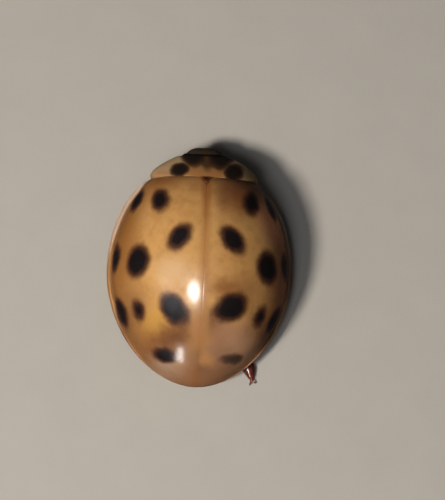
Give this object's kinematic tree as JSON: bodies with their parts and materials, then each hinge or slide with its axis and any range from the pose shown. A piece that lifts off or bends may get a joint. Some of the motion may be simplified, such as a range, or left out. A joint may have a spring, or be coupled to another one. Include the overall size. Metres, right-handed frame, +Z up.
{
  "type": "ladybird",
  "caption": "Life-size ladybird standing still, with domed spotted wing cases, pronotum, head, feelers and legs drawn in under the body.",
  "frame": {"origin": "on the floor, under the middle of the body", "axes": "+Y towards the head, +X to the animal's right side, +Z up"},
  "size_m": [0.0054, 0.0071, 0.0035],
  "materials": {
    "wing_case": "glossy horn, tan to orange brown with near-black round spots and a brown seam",
    "scutellum": "glossy dark brown",
    "pronotum": "glossy, cream sides, tan middle and near-black spots",
    "head": "satin near-black with a brown middle",
    "eye": "faceted, glossy black",
    "mouthparts": "satin yellow brown",
    "antenna": "satin yellow brown, darker club",
    "thorax": "satin dark brown with pale side plates",
    "abdomen": "satin orange brown, darker in the middle",
    "leg": "satin orange brown, darker thighs and claws"
  },
  "bodies": {
    "root": {"elytron_left": "wing_case", "elytron_right": "wing_case", "scutellum": "scutellum", "pronotum": "pronotum", "head": "head", "eye_left": "eye", "eye_right": "eye", "mouthparts": "mouthparts", "palp_left": "mouthparts", "palp_right": "mouthparts", "antenna_left": "antenna", "antenna_right": "antenna", "prothorax": "thorax", "pterothorax": "thorax", "abdomen": "abdomen", "leg_front_left_femur": "leg", "leg_front_left_tibia": "leg", "leg_front_left_tarsus": "leg", "leg_front_right_femur": "leg", "leg_front_right_tibia": "leg", "leg_front_right_tarsus": "leg", "leg_mid_left_femur": "leg", "leg_mid_left_tibia": "leg", "leg_mid_left_tarsus": "leg", "leg_mid_right_femur": "leg", "leg_mid_right_tibia": "leg", "leg_mid_right_tarsus": "leg", "leg_hind_left_femur": "leg", "leg_hind_left_tibia": "leg", "leg_hind_left_tarsus": "leg", "leg_hind_right_femur": "leg", "leg_hind_right_tibia": "leg", "leg_hind_right_tarsus": "leg"}
  },
  "joints": []
}
